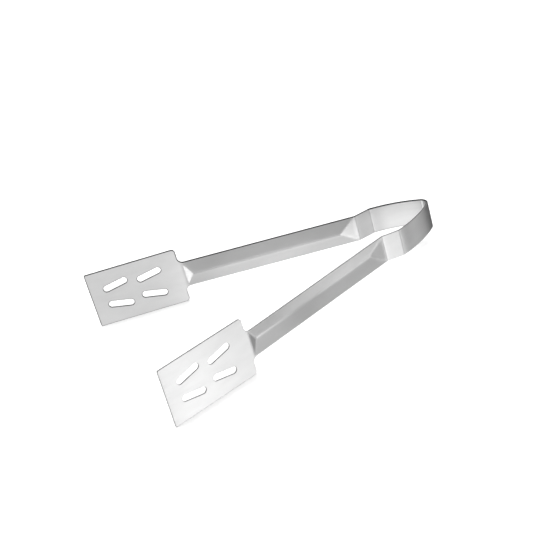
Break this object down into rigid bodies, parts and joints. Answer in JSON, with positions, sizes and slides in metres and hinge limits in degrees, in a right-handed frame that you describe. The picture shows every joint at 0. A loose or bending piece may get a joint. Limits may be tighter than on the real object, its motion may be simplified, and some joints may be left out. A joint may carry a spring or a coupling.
{
  "type": "kitchen tongs",
  "caption": "Sprung kitchen tongs bent from one stainless strip, with creased arms and slotted spatula blades that squeeze together.",
  "frame": {"origin": "middle of the outline seen from above, at the height of the blades' lower edges", "axes": "+X from the blade tips to the bow, +Y to the right half as held by the bow with the tips ahead, +Z across the width of the strip"},
  "size_m": [0.24, 0.167, 0.044],
  "materials": {
    "strip_steel": "satin, brushed along the strip",
    "blade_steel": "satin, brushed along the blade"
  },
  "bodies": {
    "bow": {"bow_crown": "strip_steel"},
    "left_half": {"left_spring_leaf": "strip_steel", "left_shoulder": "strip_steel", "left_arm": "strip_steel", "left_blade": "blade_steel"},
    "right_half": {"right_spring_leaf": "strip_steel", "right_shoulder": "strip_steel", "right_arm": "strip_steel", "right_blade": "blade_steel"}
  },
  "joints": [
    {"name": "right_flex", "type": "hinge", "parent": "bow", "child": "right_half", "pos_m": [0.10062, 0.0161, 0.022], "axis": [0, 0, 1], "range_deg": [0, 20.5], "stiffness_Nm_per_rad": 6},
    {"name": "left_flex", "type": "hinge", "parent": "bow", "child": "left_half", "pos_m": [0.10062, -0.0161, 0.022], "axis": [0, 0, -1], "range_deg": [0, 20.5], "stiffness_Nm_per_rad": 6}
  ],
  "couplings": [
    {"joint": "left_flex", "follows": "right_flex", "ratio": 1}
  ]
}
